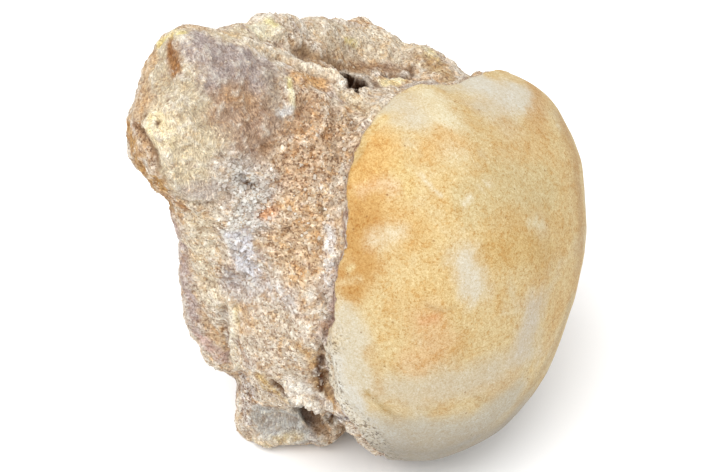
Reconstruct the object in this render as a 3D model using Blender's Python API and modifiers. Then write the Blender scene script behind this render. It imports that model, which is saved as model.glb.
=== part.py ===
"""Fossil neck vertebra of a mosasaur, with the sandy rock that still clings to it.

One solid, the node "vertebra". It is shaped in millimetres in the bone's own
directions: x runs back through the ball, y runs to the bone's right side and
z runs up to its back. The origin is the middle of the ball's rim. The last step
leans the bone over as it lies on a table, sets its underside at z = 0 and turns
millimetres into metres.
"""
import math

import bmesh
import bpy
import numpy as np
from mathutils import Matrix, Vector, noise

MM = 0.001

# Sizes that drive the shape
BODY_LENGTH = 31.5
BALL_DEPTH = 24.0
SOCKET_DEPTH = 14.0
RIM_RAKE = 0.13
LEAN_DEG = 27.0
PITCH_DEG = 5.0
FLOOR_LEVEL = -33.7
VOXEL = 0.9
TRIANGLES = 8600

# Half outlines as (y, z), from the middle of the back down to the middle of the belly
SOCKET_OUTLINE = [
    (0, 31.5), (9, 31), (17, 28), (23.5, 22.5), (27.8, 14), (28.9, 3),
    (27.1, -9), (22, -18), (15.5, -25.5), (8, -29.8), (0, -30.8),
]
BALL_OUTLINE_RIGHT = [
    (0, 31.2), (7, 31.6), (14, 31.2), (20.3, 27.8), (25.6, 20.2), (28.1, 8),
    (27.3, -5), (23.8, -17), (17.2, -28.2), (8.7, -34.5), (0, -34.7),
]
BALL_OUTLINE_LEFT = [
    (0, 31.2), (7, 31.6), (14, 31.2), (20.5, 28), (26.2, 20.5), (29, 8),
    (28, -5), (23.6, -17), (16, -27), (7.5, -33), (0, -34.7),
]
# The ball's outline further out, with the right shoulder fuller than the left
BALL_SWELL_RIGHT = [
    (0, 32.3), (8, 32.8), (16, 32.3), (22.2, 27.9), (25.7, 19.0), (26.7, 8),
    (26.1, -5), (23.0, -17), (16.8, -27.7), (8.4, -34.0), (0, -34.7),
]
BALL_SWELL_LEFT = [
    (0, 32.3), (7, 31.8), (14, 30.8), (21, 27.2), (26.4, 20.0), (29, 8),
    (28, -5), (23.6, -17), (16, -27), (7.5, -33.2), (0, -34.7),
]

# Rings of the body as (x, scale, share of the ball's outline), from the socket's rim
# along the waist to the ball's rim
BODY_RINGS = [
    (-BODY_LENGTH, 0.955, 0.0),
    (-BODY_LENGTH + 1.2, 1.0, 0.02),
    (-26.0, 0.98, 0.1),
    (-20.0, 0.915, 0.25),
    (-13.0, 0.87, 0.5),
    (-7.0, 0.89, 0.75),
    (-3.6, 0.93, 0.9),
    (-1.4, 0.98, 1.0),
    (0.0, 1.0, 1.0),
]
# Rings of the socket's hollow as (share of its depth, scale), from outside in
SOCKET_RINGS = [
    (-1.0, 0.93), (0.0, 0.915), (0.18, 0.875), (0.45, 0.77), (0.72, 0.60),
    (0.90, 0.40), (1.0, 0.16),
]
BALL_RINGS = 12

# Rings of the rib processes as (centre, half height, half thickness). The left one is
# whole and the right one is a broken stump.
LEFT_PROCESS = [
    ((-15.0, -9.0, 11.5), 13.5, 13.0),
    ((-18.0, -16.0, 13.0), 14.5, 12.5),
    ((-23.5, -25.0, 16.8), 15.2, 11.0),
    ((-28.5, -34.0, 21.2), 14.2, 9.5),
    ((-31.3, -38.8, 23.8), 12.9, 8.6),
    ((-32.8, -41.0, 25.2), 11.0, 7.6),
    ((-33.3, -41.9, 25.4), 7.0, 4.4),
]
RIGHT_PROCESS = [
    ((-14.5, 9.0, 8.0), 15.5, 11.5),
    ((-18.0, 17.0, 8.0), 14.5, 11.0),
    ((-21.0, 24.0, 8.5), 12.5, 9.5),
    ((-23.0, 28.5, 9.0), 10.5, 8.0),
    ((-23.8, 30.0, 9.5), 7.0, 5.0),
]
PROCESS_UP = (0.10, 0.175, 0.975)
PROCESS_BACK = (0.86, -0.50, 0.0)

# Rounded masses as (centre, half sizes, turn about z in degrees)
MASSES = [
    # base of the left front joint
    ((-29.5, -25.0, 30.0), (4.8, 9.5, 5.4), -8),
    ((-29.5, -14.0, 31.2), (4.4, 7.5, 5.0), 0),
    ((-28.4, -4.0, 30.4), (4.0, 8.0, 4.2), 0),
    ((-26.0, -10.5, 28.8), (5.0, 6.0, 3.8), 0),
    # peduncle under the belly
    ((-17.5, -3.5, -28.0), (8.5, 9.0, 11.5), 0),
    ((-21.3, -5.5, -32.6), (6.2, 6.5, 9.0), 0),
    ((-13.5, -3.5, -31.0), (6.0, 7.0, 7.2), 0),
    # rock on the left waist
    ((-14.0, -17.5, -3.0), (12.0, 10.3, 22.0), 0),
    ((-8.0, -17.5, -1.0), (8.5, 10.6, 21.0), 0),
    ((-11.0, -12.0, -18.8), (9.5, 10.0, 8.4), 0),
    ((-23.5, -24.0, 3.0), (8.5, 8.0, 10.0), 0),
    ((-22.0, -20.5, -7.0), (8.2, 6.9, 9.3), 0),
    ((-27.3, -27.0, 5.0), (4.6, 6.2, 8.0), 0),
    ((-26.5, -30.0, 8.0), (5.0, 6.2, 9.5), -30),
    ((-16.0, -21.0, 9.0), (10.5, 9.5, 15.0), 0),
    # rock that filled the right waist and made the bed the bone lies on
    ((-16.0, 13.5, -19.0), (12.0, 12.5, 11.5), 0),
    ((-9.5, 11.0, -21.5), (8.5, 11.0, 9.0), 15),
    ((-20.0, 8.0, -25.0), (8.5, 9.5, 8.0), 0),
    ((-23.0, 18.5, -12.0), (7.0, 8.5, 11.0), -10),
    ((-10.0, 20.5, -8.0), (8.5, 6.5, 11.0), 10),
]

# Chains of balls as (x, y, z, radius): the broken stumps of the neural arch, a sharp
# crest on the left and a broad low wall on the right
CHAINS = [
    [
        (-30.5, -32.0, 31.5, 3.8), (-27.5, -23.0, 30.6, 3.2),
        (-22.8, -16.8, 28.2, 3.0), (-16.4, -13.8, 26.8, 2.9),
        (-13.8, -13.0, 25.0, 3.0),
    ],
    [
        (-28.0, -5.0, 28.0, 5.2), (-27.0, 2.5, 28.0, 5.6), (-25.0, 8.0, 27.6, 5.5),
        (-19.0, 12.0, 26.2, 4.9), (-12.5, 13.0, 25.8, 4.8), (-8.0, 13.0, 24.5, 4.2),
    ],
]


def smooth_loop(points, per_gap):
    """Points along a smooth closed curve through the given points."""
    loop = np.array(points, dtype=float)
    before = np.roll(loop, 1, axis=0)
    after = np.roll(loop, -1, axis=0)
    beyond = np.roll(loop, -2, axis=0)
    steps = []
    for step in range(per_gap):
        t = step / per_gap
        steps.append(
            0.5
            * (
                2 * loop
                + (after - before) * t
                + (2 * before - 5 * loop + 4 * after - beyond) * t**2
                + (3 * loop - before - 3 * after + beyond) * t**3
            )
        )
    return np.stack(steps, axis=1).reshape(-1, loop.shape[1])


def both_halves(right, left):
    """The whole outline from its two halves, the left one given mirrored."""
    return list(right) + [(-y, z) for y, z in reversed(left[1:-1])]


def loft(name, rings):
    """A closed mesh over rings that hold the same number of points."""
    mesh = bmesh.new()
    rows = [[mesh.verts.new(point) for point in ring] for ring in rings]
    count = len(rows[0])
    for row, following in zip(rows, rows[1:]):
        for i in range(count):
            j = (i + 1) % count
            mesh.faces.new((row[i], row[j], following[j], following[i]))
    for row in (rows[0], rows[-1]):
        middle = sum((vertex.co for vertex in row), Vector()) / count
        hub = mesh.verts.new(middle)
        for i in range(count):
            mesh.faces.new((row[i], row[(i + 1) % count], hub))
    bmesh.ops.recalc_face_normals(mesh, faces=mesh.faces)
    data = bpy.data.meshes.new(name)
    mesh.to_mesh(data)
    mesh.free()
    return data


def rounded_mass(name, centre, half_sizes, turn_deg):
    """An ellipsoid turned about the z axis."""
    mesh = bmesh.new()
    bmesh.ops.create_icosphere(mesh, subdivisions=4, radius=1.0)
    place = (
        Matrix.Translation(centre)
        @ Matrix.Rotation(math.radians(turn_deg), 4, "Z")
        @ Matrix.Diagonal((*half_sizes, 1.0))
    )
    bmesh.ops.transform(mesh, matrix=place, verts=mesh.verts)
    data = bpy.data.meshes.new(name)
    mesh.to_mesh(data)
    mesh.free()
    return data


def put_in(collection, name, data):
    thing = bpy.data.objects.new(name, data)
    collection.objects.link(thing)
    return thing


def evaluated_mesh(thing):
    """The object's mesh with its modifiers applied."""
    bpy.context.view_layer.update()
    graph = bpy.context.evaluated_depsgraph_get()
    return bpy.data.meshes.new_from_object(thing.evaluated_get(graph), depsgraph=graph)


def apply_modifiers(thing):
    shaped = evaluated_mesh(thing)
    thing.modifiers.clear()
    thing.data = shaped


for old in list(bpy.data.objects):
    bpy.data.objects.remove(old, do_unlink=True)

scene = bpy.context.scene
finished = bpy.data.collections.new("fossil vertebra")
helpers = bpy.data.collections.new("cutters")
scene.collection.children.link(finished)
scene.collection.children.link(helpers)

# Body: waist and ball as one loft
socket_loop = smooth_loop(both_halves(SOCKET_OUTLINE, SOCKET_OUTLINE), 4)
ball_loop = smooth_loop(both_halves(BALL_OUTLINE_RIGHT, BALL_OUTLINE_LEFT), 4)
swell_loop = smooth_loop(both_halves(BALL_SWELL_RIGHT, BALL_SWELL_LEFT), 4)
rings = []
for x, scale, share in BODY_RINGS:
    loop = scale * ((1 - share) * socket_loop + share * ball_loop)
    rake = -RIM_RAKE * np.clip(loop[:, 1], 0, None) * share**2
    rings.append(np.column_stack([x + rake, loop]))
for step in range(1, BALL_RINGS):
    angle = 0.5 * math.pi * step / BALL_RINGS
    swell = min(1.0, step / 3)
    loop = math.cos(angle) ** 0.86 * ((1 - swell) * ball_loop + swell * swell_loop)
    rake = -RIM_RAKE * np.clip(loop[:, 1], 0, None) * math.cos(angle)
    rings.append(np.column_stack([BALL_DEPTH * math.sin(angle) ** 0.97 + rake, loop]))
shells = [loft("body", rings)]

# Rib processes: deep, blunt blocks swept out and forwards
for side, process in ((1, LEFT_PROCESS), (-1, RIGHT_PROCESS)):
    up = np.array([PROCESS_UP[0], side * PROCESS_UP[1], PROCESS_UP[2]])
    back = np.array([PROCESS_BACK[0], side * PROCESS_BACK[1], PROCESS_BACK[2]])
    rings = []
    for centre, half_height, half_thickness in process:
        ring = []
        for step in range(40):
            angle = 2 * math.pi * step / 40
            out = math.copysign(abs(math.cos(angle)) ** 0.75, math.cos(angle))
            rise = math.copysign(abs(math.sin(angle)) ** 0.75, math.sin(angle))
            ring.append(centre + half_thickness * out * back + half_height * rise * up)
        rings.append(ring)
    shells.append(loft("process", rings))

for centre, half_sizes, turn_deg in MASSES:
    shells.append(rounded_mass("mass", centre, half_sizes, turn_deg))

for chain in CHAINS:
    chain = np.array(chain)
    for start, end in zip(chain, chain[1:]):
        for share in np.linspace(0, 1, 7):
            x, y, z, radius = start + share * (end - start)
            shells.append(rounded_mass("bead", (x, y, z), (radius, radius, radius), 0))

# One skin over all the masses
joined = bmesh.new()
for shell in shells:
    joined.from_mesh(shell)
data = bpy.data.meshes.new("vertebra")
joined.to_mesh(data)
joined.free()
vertebra = put_in(finished, "vertebra", data)
skin = vertebra.modifiers.new("Skin", "REMESH")
skin.mode = "VOXEL"
skin.voxel_size = VOXEL
blend = vertebra.modifiers.new("Blend", "SMOOTH")
blend.factor = 0.5
blend.iterations = 5

# Hollow of the socket, cut through every mass that reaches into it
rings = []
for share, scale in SOCKET_RINGS:
    loop = scale * socket_loop
    rings.append(np.column_stack([np.full(len(loop), -BODY_LENGTH + share * SOCKET_DEPTH), loop]))
socket_cutter = put_in(helpers, "socket cutter", loft("socket cutter", rings))
socket_cutter.hide_render = True
socket_cutter.display_type = "WIRE"
hollow = vertebra.modifiers.new("Socket", "BOOLEAN")
hollow.operation = "DIFFERENCE"
hollow.solver = "EXACT"
hollow.object = socket_cutter
reskin = vertebra.modifiers.new("Second skin", "REMESH")
reskin.mode = "VOXEL"
reskin.voxel_size = VOXEL
soften = vertebra.modifiers.new("Soften", "SMOOTH")
soften.factor = 0.5
soften.iterations = 2
apply_modifiers(vertebra)


# Strokes: each moves the surface along its normal near a point or a line
def read_points(data):
    flat = np.empty(3 * len(data.vertices))
    data.vertices.foreach_get("co", flat)
    return flat.reshape(-1, 3)


def read_normals(data):
    flat = np.empty(3 * len(data.vertices))
    data.vertex_normals.foreach_get("vector", flat)
    return flat.reshape(-1, 3)


def write_points(data, points):
    data.vertices.foreach_set("co", points.ravel())
    data.update()


def falloff(distance, reach):
    """1 at the middle, easing to 0 at the reach."""
    t = np.clip(1 - distance / reach, 0, 1)
    return t * t * (3 - 2 * t)


def from_line(points, line):
    """Distance to a chain of straight lines."""
    nearest = np.full(len(points), np.inf)
    line = np.array(line, dtype=float)
    for start, end in zip(line, line[1:]):
        along = end - start
        t = np.clip((points - start) @ along / (along @ along), 0, 1)
        gap = np.linalg.norm(points - start - t[:, None] * along, axis=1)
        nearest = np.minimum(nearest, gap)
    return nearest


points = read_points(vertebra.data)
normals = read_normals(vertebra.data)

# (line, reach, push): pits are pushed in, ridges out
STROKES = [
    # pit at the edge of the neural canal
    ([(-18.9, -5.6, 26.8), (-17.0, -4.4, 26.8)], 3.2, -5.0),
    # channel of the neural canal, behind the crest
    ([(-20.0, -2.0, 28.0), (-6.0, 0.0, 28.0)], 7.0, -1.0),
    ([(-22.0, -14.2, 29.8), (-18.4, -11.3, 28.7), (-17.5, -6.0, 27.0)], 3.3, -2.0),
    # hollow on the back of the rib process
    ([(-22.0, -27.0, 18.0), (-27.0, -36.0, 19.0)], 9.0, -1.3),
    # crest of the left arch stump
    ([(-26.8, -27.6, 34.6), (-23.1, -20.3, 31.6), (-19.8, -16.9, 30.6), (-16.7, -14.3, 29.9)], 2.2, 0.9),
    # scooped facet on the peduncle under a ledge
    ([(-17.5, -10.5, -33.5), (-11.0, -8.5, -32.0)], 5.5, -2.0),
    ([(-10.0, -20.5, -22.0), (-6.5, -19.5, -22.5), (-4.0, -16.0, -24.0)], 2.4, 0.9),
    # deep place in the groove beside the ball's rim
    ([(-3.2, -23.5, -12.0), (-3.2, -20.0, -20.0)], 3.2, -1.3),
]
# Groove all round, just in front of the ball's rim
rake = -RIM_RAKE * np.clip(ball_loop[:, 1], 0, None)
groove = np.column_stack([rake - 2.2, 0.97 * ball_loop])
STROKES.append((np.vstack([groove, groove[:1]]), 2.4, -0.8))

for line, reach, push in STROKES:
    points += normals * (push * falloff(from_line(points, line), reach))[:, None]

# Weathered relief, faint on the ball and coarse on the rock
on_ball = np.clip((points[:, 0] + RIM_RAKE * np.clip(points[:, 2], 0, None) + 1.0) / 2.0, 0, 1)
relief = np.empty(len(points))
for index, point in enumerate(points):
    broad = noise.noise(Vector(point) * 0.11)
    lumpy = noise.noise(Vector(point) * 0.27 + Vector((7.0, 3.0, 1.0)))
    knobby = noise.noise(Vector(point) * 0.5 + Vector((2.0, 9.0, 4.0)))
    rough = 0.9 * broad + 0.7 * lumpy + 0.25 * knobby
    smooth = 0.45 * broad + 0.10 * lumpy
    relief[index] = rough + on_ball[index] * (smooth - rough)
points += normals * relief[:, None]
write_points(vertebra.data, points)

# Fewer, larger facets, then the flat bed it lies on
thin = vertebra.modifiers.new("Thin", "DECIMATE")
thin.ratio = TRIANGLES / (2 * len(vertebra.data.polygons))
thin.use_collapse_triangulate = True
apply_modifiers(vertebra)

lie = Matrix.Rotation(math.radians(-PITCH_DEG), 4, "Y") @ Matrix.Rotation(
    math.radians(-LEAN_DEG), 4, "X"
)
vertebra.data.transform(lie)

mesh = bmesh.new()
bmesh.ops.create_cube(mesh, size=1.0)
data = bpy.data.meshes.new("floor cutter")
under = Matrix.Translation((0, 0, FLOOR_LEVEL - 20)) @ Matrix.Diagonal((200, 200, 40, 1))
bmesh.ops.transform(mesh, matrix=under, verts=mesh.verts)
mesh.to_mesh(data)
mesh.free()
floor_cutter = put_in(helpers, "floor cutter", data)
floor_cutter.hide_render = True
floor_cutter.display_type = "WIRE"
bed = vertebra.modifiers.new("Bed", "BOOLEAN")
bed.operation = "DIFFERENCE"
bed.solver = "EXACT"
bed.object = floor_cutter
apply_modifiers(vertebra)

# Rest frame: metres, standing on z = 0 over the middle of its outline
points = read_points(vertebra.data)
low = points.min(axis=0)
high = points.max(axis=0)
middle = 0.5 * (low + high)
shift = Matrix.Translation((-middle[0], -middle[1], -low[2]))
vertebra.data.transform(Matrix.Diagonal((MM, MM, MM, 1)) @ shift)
floor_cutter.data.transform(Matrix.Diagonal((MM, MM, MM, 1)) @ shift)
socket_cutter.data.transform(Matrix.Diagonal((MM, MM, MM, 1)) @ shift @ lie)

stone = bpy.data.materials.new("fossil bone and rock")
stone.use_nodes = True
shader = stone.node_tree.nodes["Principled BSDF"]
shader.inputs["Base Color"].default_value = (0.62, 0.47, 0.29, 1.0)
shader.inputs["Roughness"].default_value = 0.8
vertebra.data.materials.clear()
vertebra.data.materials.append(stone)
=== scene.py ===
import math

import bmesh
import bpy
import numpy as np
from mathutils import Matrix, Vector, noise
from mathutils.bvhtree import BVHTree


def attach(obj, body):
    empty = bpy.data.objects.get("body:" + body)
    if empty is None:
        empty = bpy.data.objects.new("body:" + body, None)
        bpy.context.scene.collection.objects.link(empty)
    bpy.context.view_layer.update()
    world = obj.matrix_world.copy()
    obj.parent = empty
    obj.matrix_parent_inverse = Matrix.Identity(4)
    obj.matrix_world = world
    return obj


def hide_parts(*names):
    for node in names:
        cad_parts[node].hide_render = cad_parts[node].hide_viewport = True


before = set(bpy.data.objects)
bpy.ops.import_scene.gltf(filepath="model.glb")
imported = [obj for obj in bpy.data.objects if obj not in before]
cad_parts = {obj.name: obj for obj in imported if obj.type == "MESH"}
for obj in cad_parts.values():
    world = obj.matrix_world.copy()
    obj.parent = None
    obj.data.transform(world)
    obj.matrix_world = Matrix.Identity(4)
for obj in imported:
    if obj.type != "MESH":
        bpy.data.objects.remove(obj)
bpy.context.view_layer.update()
scene = bpy.context.scene

# Camera
# It looks down at the bone's left side and the ball behind it, from far enough off
# that the near process isn't drawn large. Marks on the skin are placed through it.
MM = 0.001
COLUMNS, ROWS = 708, 472
SENSOR_MM = 36.0
CAMERA_DISTANCE, NEAREST_SEEN = 0.55, 0.01
PIXELS_PER_MM = 6.0
AZIMUTH_DEG, ELEVATION_DEG = 34.7, 44.7
LOOK_AT_MM = (-3.088, -5.581, 36.864)

azimuth, elevation = math.radians(AZIMUTH_DEG), math.radians(ELEVATION_DEG)
toward_camera = Vector((
    math.sin(azimuth) * math.cos(elevation),
    -math.cos(azimuth) * math.cos(elevation),
    math.sin(elevation),
))
camera = bpy.data.objects.new("camera", bpy.data.cameras.new("camera"))
camera.data.sensor_width = SENSOR_MM
camera.data.lens = CAMERA_DISTANCE / MM * PIXELS_PER_MM * SENSOR_MM / COLUMNS
camera.data.clip_start = NEAREST_SEEN
camera.location = MM * Vector(LOOK_AT_MM) + CAMERA_DISTANCE * toward_camera
camera.rotation_mode = "QUATERNION"
camera.rotation_quaternion = toward_camera.to_track_quat("Z", "Y")
scene.collection.objects.link(camera)
scene.camera = camera

# Bone with its rock
# A neck vertebra turned to stone: a smooth cream ball behind, a deep waist and blunt
# processes in front, with sandy phosphate rock left on the waist, arch and peduncle.
# It is one piece. Lengths below are in millimetres.
SKIN_VOXEL = 0.45
SKIN_SMOOTHING, BALL_SMOOTHING, SMOOTHING_SHARE = 12, 60, 0.5
SKIN_TRIANGLES = 196000
LEAN_DEG, PITCH_DEG = 27.0, 5.0
RIM_MIDDLE = (8.9233, -0.9752, 33.7)
RIM_RAKE = 0.13
# How far behind the plain rim the ball really starts, by the angle round it
RIM_WANDER = {
    -180: 0.0, -120: 1.0, -80: 3.4, -60: 3.6, -51: 2.8, -46: 1.5, -41: -1.5, -28: -2.4, -16: -1.7,
    -9: 0.1, 9: 0.2, 17: 1.2, 26: 0.8, 34: -1.0, 43: -1.9, 50: -1.1, 60: -1.3, 70: -0.8, 77: 1.2,
    85: 2.5, 102: 2.4, 140: 0.5, 180: 0.0,
}

MERGE_WITHIN = 0.001
merged = bmesh.new()
merged.from_mesh(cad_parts["vertebra"].data)
bmesh.ops.remove_doubles(merged, verts=merged.verts, dist=MERGE_WITHIN * MM)
bmesh.ops.recalc_face_normals(merged, faces=merged.faces)
bone = bpy.data.objects.new("fossil_vertebra", bpy.data.meshes.new("fossil_vertebra"))
merged.to_mesh(bone.data)
merged.free()
scene.collection.objects.link(bone)
remesh = bone.modifiers.new("skin", "REMESH")
remesh.mode = "VOXEL"
remesh.voxel_size = SKIN_VOXEL * MM
soften = bone.modifiers.new("soften", "SMOOTH")
soften.factor = SMOOTHING_SHARE
soften.iterations = SKIN_SMOOTHING


def made_plain(thing):
    """Replaces the object's mesh by its modifiers' result."""
    bpy.context.view_layer.update()
    graph = bpy.context.evaluated_depsgraph_get()
    thing.data = bpy.data.meshes.new_from_object(thing.evaluated_get(graph), depsgraph=graph)
    thing.modifiers.clear()


made_plain(bone)


def read_skin(attribute):
    """Places or normals of the skin, one row for each of its points."""
    rows = bone.data.vertices if attribute == "co" else bone.data.vertex_normals
    flat = np.empty(3 * len(bone.data.vertices))
    rows.foreach_get(attribute, flat)
    return flat.reshape(-1, 3)


def smooth_step(low, high, value):
    """0 before low and 1 past high, eased between."""
    share = np.clip((value - low) / (high - low), 0, 1)
    return share * share * (3 - 2 * share)


def from_line(points, line):
    """Distance to a chain of straight lines."""
    nearest = np.full(len(points), np.inf)
    line = np.array(line if len(line) > 1 else line * 2, float)
    for start, end in zip(line, line[1:]):
        along = end - start
        share = np.clip((points - start) @ along / max(along @ along, 1e-9), 0, 1)
        gap = np.linalg.norm(points - start - share[:, None] * along, axis=1)
        nearest = np.minimum(nearest, gap)
    return nearest


SEED_STEP = (17.3, -5.1, 9.7)


def noise_at(places, size, seed):
    """Soft noise from about -1 to 1 with blotches of that size, at each place."""
    shift = Vector([seed * step for step in SEED_STEP])
    return np.array([noise.noise(Vector(place) / size + shift) for place in places])


lie = np.array(
    Matrix.Rotation(math.radians(-PITCH_DEG), 3, "Y")
    @ Matrix.Rotation(math.radians(-LEAN_DEG), 3, "X")
)


def behind_rim_of(places):
    """How far behind the ball's rim each place is, along the bone."""
    x, y, z = ((places - RIM_MIDDLE) @ lie).T
    round_rim = np.degrees(np.arctan2(z, -y))
    wander = np.interp(round_rim, list(RIM_WANDER), list(RIM_WANDER.values()))
    return x + RIM_RAKE * np.clip(z, 0, None) - wander


LEAST_WEIGHT = 0.01


def weigh(name, weights):
    """A vertex group of the skin with a weight for each of its points."""
    group = bone.vertex_groups.new(name=name)
    for index in np.flatnonzero(weights > LEAST_WEIGHT):
        group.add([int(index)], float(weights[index]), "REPLACE")
    return group.name


# The ball is worn smooth, and it and the underside need fewer faces than the rock. Each
# pair is where a change begins and is full, behind the rim or above the bed
FEWER_FACES, WORN_SMOOTH = (1.0, 3.0), (2.0, 5.0)
CLEAR_OF_BED, UNDERSIDE = (1.0, 4.0), (4.0, 2.0)
THINNING_BY_PLACE = 4.0
skin = read_skin("co") / MM
worn_smooth = smooth_step(*WORN_SMOOTH, behind_rim_of(skin)) * smooth_step(*CLEAR_OF_BED, skin[:, 2])
polish = bone.modifiers.new("polish", "SMOOTH")
polish.factor = SMOOTHING_SHARE
polish.iterations = BALL_SMOOTHING
polish.vertex_group = weigh("ball", worn_smooth)
plain = np.maximum(smooth_step(*FEWER_FACES, behind_rim_of(skin)), smooth_step(*UNDERSIDE, skin[:, 2]))
thin = bone.modifiers.new("thin", "DECIMATE")
thin.ratio = SKIN_TRIANGLES / sum(len(face.vertices) - 2 for face in bone.data.polygons)
thin.vertex_group = weigh("plain part", plain)
thin.vertex_group_factor = THINNING_BY_PLACE
made_plain(bone)
bone.vertex_groups.clear()

skin = read_skin("co") / MM
outward = read_skin("vector")
tree = BVHTree.FromPolygons(skin.tolist(), [tuple(face.vertices) for face in bone.data.polygons])
turn = camera.rotation_quaternion.to_matrix()
eye = camera.location / MM
INWARD_STEPS, MIDDLE_COLUMN, MIDDLE_ROW = 201, 400, 255


def seen_at(column, row):
    """The place on the skin that the camera sees in that column and row, or the nearest
    one that it sees on the way to the bone's middle."""
    for share in np.linspace(0, 1, INWARD_STEPS):
        x = column + share * (MIDDLE_COLUMN - column) - COLUMNS / 2
        y = ROWS / 2 - row - share * (MIDDLE_ROW - row)
        pixel = SENSOR_MM / COLUMNS / camera.data.lens
        ray = turn @ Vector((x * pixel, y * pixel, -1))
        place = tree.ray_cast(eye, ray)[0]
        if place is not None:
            return np.array(place)
    raise ValueError(f"nothing of the bone is seen near {column}, {row}")


# Carving: each stroke pushes the skin out or in beside a line, as
# (line of columns and rows, reach, push)
CARVING = {
    "crest of the near arch": ([(240, 40), (263, 48), (287, 59), (310, 69), (335, 74), (345, 85)], 1.1, 0.6),
    "foot of the crest": ([(262, 36), (290, 46), (316, 57), (340, 66)], 2.2, -0.6),
    "valley's shallow end": ([(280, 36), (296, 44)], 2.4, 0.8),
    "valley's floor": ([(310, 52), (332, 60), (350, 70)], 2.4, -0.9),
    "gap beside the rim": ([(316, 346), (319, 366), (322, 380), (326, 394)], 1.6, 1.0),
    "rock above the gap": ([(326, 312), (318, 328), (310, 342)], 2.2, 1.0),
    "rock under the rim": ([(331, 306), (328, 322), (325, 336)], 1.5, 0.8),
    "rock beside the gap": ([(326, 328), (327, 346), (330, 364), (334, 382)], 1.4, 0.7),
    "ridge down the peduncle": ([(231, 300), (234, 330), (236, 368)], 1.2, 0.7),
    "fold left of the ridge": ([(224, 310), (227, 345), (228, 365)], 1.6, -0.8),
    "cut back below the worn edge": ([(346, 424), (357, 437), (368, 447), (380, 454)], 2.4, -1.6),
    "edge of the ledge": ([(288, 390), (294, 398), (306, 400), (316, 405), (329, 412)], 1.0, 1.2),
    "under the ledge": ([(292, 401), (306, 406), (316, 411), (330, 419)], 1.3, -2.8),
    "hollow under the ledge": ([(303, 410), (311, 418)], 2.4, -2.0),
    "scooped facet": ([(262, 420), (290, 421), (312, 428)], 4.6, -1.2),
    "lip of the facet": ([(256, 440), (285, 441), (320, 438)], 1.4, 0.5),
    "yellow ridge": ([(262, 380), (270, 388), (279, 395)], 1.0, 0.4),
    "groove by the yellow ridge": ([(273, 382), (281, 390), (290, 398)], 0.8, -0.9),
    "edge of the process's tip": ([(132, 120), (146, 136), (156, 152), (163, 175), (170, 205)], 0.9, -0.25),
    "face beside the tip": ([(145, 118), (158, 132), (166, 152), (174, 185)], 1.7, 0.45),
    "fold under the process": ([(183, 202), (196, 203), (212, 205)], 0.9, -0.6),
    "foot of the process": ([(308, 102), (292, 122), (264, 150)], 2.2, -0.2),
    "hollow of the process": ([(215, 60), (250, 75), (262, 100)], 4.0, -0.6),
    "hollow at the brown patch": ([(170, 48), (176, 68)], 1.8, -0.25),
    "crack in the far wall": ([(411, 66), (413, 75)], 0.7, -0.6),
    "crack above the chip": ([(384, 75), (398, 74), (412, 77)], 0.7, -0.7),
    "crystal hollow": ([(240, 178), (252, 186)], 2.2, -0.5),
}

RAGGED_SIZE, RAGGED_BY = 1.6, 0.55
uncarved = skin.copy()
ragged = np.stack([noise_at(skin, RAGGED_SIZE, seed) for seed in (30, 31, 32)], axis=1) * RAGGED_BY
for line, reach, push in CARVING.values():
    gap = from_line(uncarved + ragged, [seen_at(*place) for place in line])
    skin += outward * (push * (1 - smooth_step(0, reach, gap)))[:, None]

# A pit by the near arch runs down and back into the rock
PIT_LINE, PIT_REACH, PIT_DEPTH = [(348, 78), (352, 85), (360, 85)], 1.45, 4.2
PIT_FLOOR_SHARE, PIT_RAGGEDNESS, PIT_SLANT = 0.35, 1.6, 0.6
gap = from_line(uncarved + PIT_RAGGEDNESS * ragged, [seen_at(*place) for place in PIT_LINE])
pit = 1 - smooth_step(PIT_FLOOR_SHARE * PIT_REACH, PIT_REACH, gap)
skin -= np.array(toward_camera + Vector((0, 0, PIT_SLANT))) * (PIT_DEPTH * pit)[:, None]

# The rim as it is now, a little uneven
BROAD_WOBBLE, FINE_WOBBLE = 0.5, 0.35
behind_rim = behind_rim_of(skin)
behind_rim += BROAD_WOBBLE * noise_at(skin, 3.0, 33)
behind_rim += FINE_WOBBLE * noise_at(skin, 1.2, 34)
ball = smooth_step(-0.5, 0.5, behind_rim)

# Groove all round in front of the ball's rim, with a crisp lip
GROOVE_IN_FRONT, GROOVE_REACH, GROOVE_DEPTH, GROOVE_UNEVEN = 1.3, 1.4, 0.6, 0.4
LIP_BEHIND, LIP_REACH, LIP_HEIGHT = 0.5, 1.1, 0.25
groove = 1 - smooth_step(0.0, GROOVE_REACH, np.abs(behind_rim + GROOVE_IN_FRONT))
groove *= GROOVE_DEPTH + GROOVE_UNEVEN * noise_at(skin, 7.0, 35)
lip = (1 - smooth_step(0.0, LIP_REACH, np.abs(behind_rim - LIP_BEHIND))) * LIP_HEIGHT
skin += outward * (lip - groove)[:, None]

# Rock has lumps and pits, the ball is only faintly uneven
LUMP_HEIGHT, KNOB_HEIGHT, CREASE_DEPTH, CREASE_LIFT = 0.40, 0.36, 0.45, 0.12
BROAD_DENT, SMALL_DENT = 0.14, 0.06
lumps = noise_at(skin, 3.4, 1) * LUMP_HEIGHT + noise_at(skin, 1.6, 2) * KNOB_HEIGHT
lumps -= np.abs(noise_at(skin, 1.0, 3)) * CREASE_DEPTH
lumps += CREASE_LIFT
dents = noise_at(skin, 9.0, 4) * BROAD_DENT + noise_at(skin, 3.0, 5) * SMALL_DENT
skin += outward * (ball * dents + (1 - ball) * lumps)[:, None]
skin[:, 2] = np.maximum(skin[:, 2], 0)
bone.data.vertices.foreach_set("co", (skin * MM).ravel())
bone.data.update()
bone.data.shade_smooth()
outward = read_skin("vector")
along_bone = (skin - RIM_MIDDLE) @ lie

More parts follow.
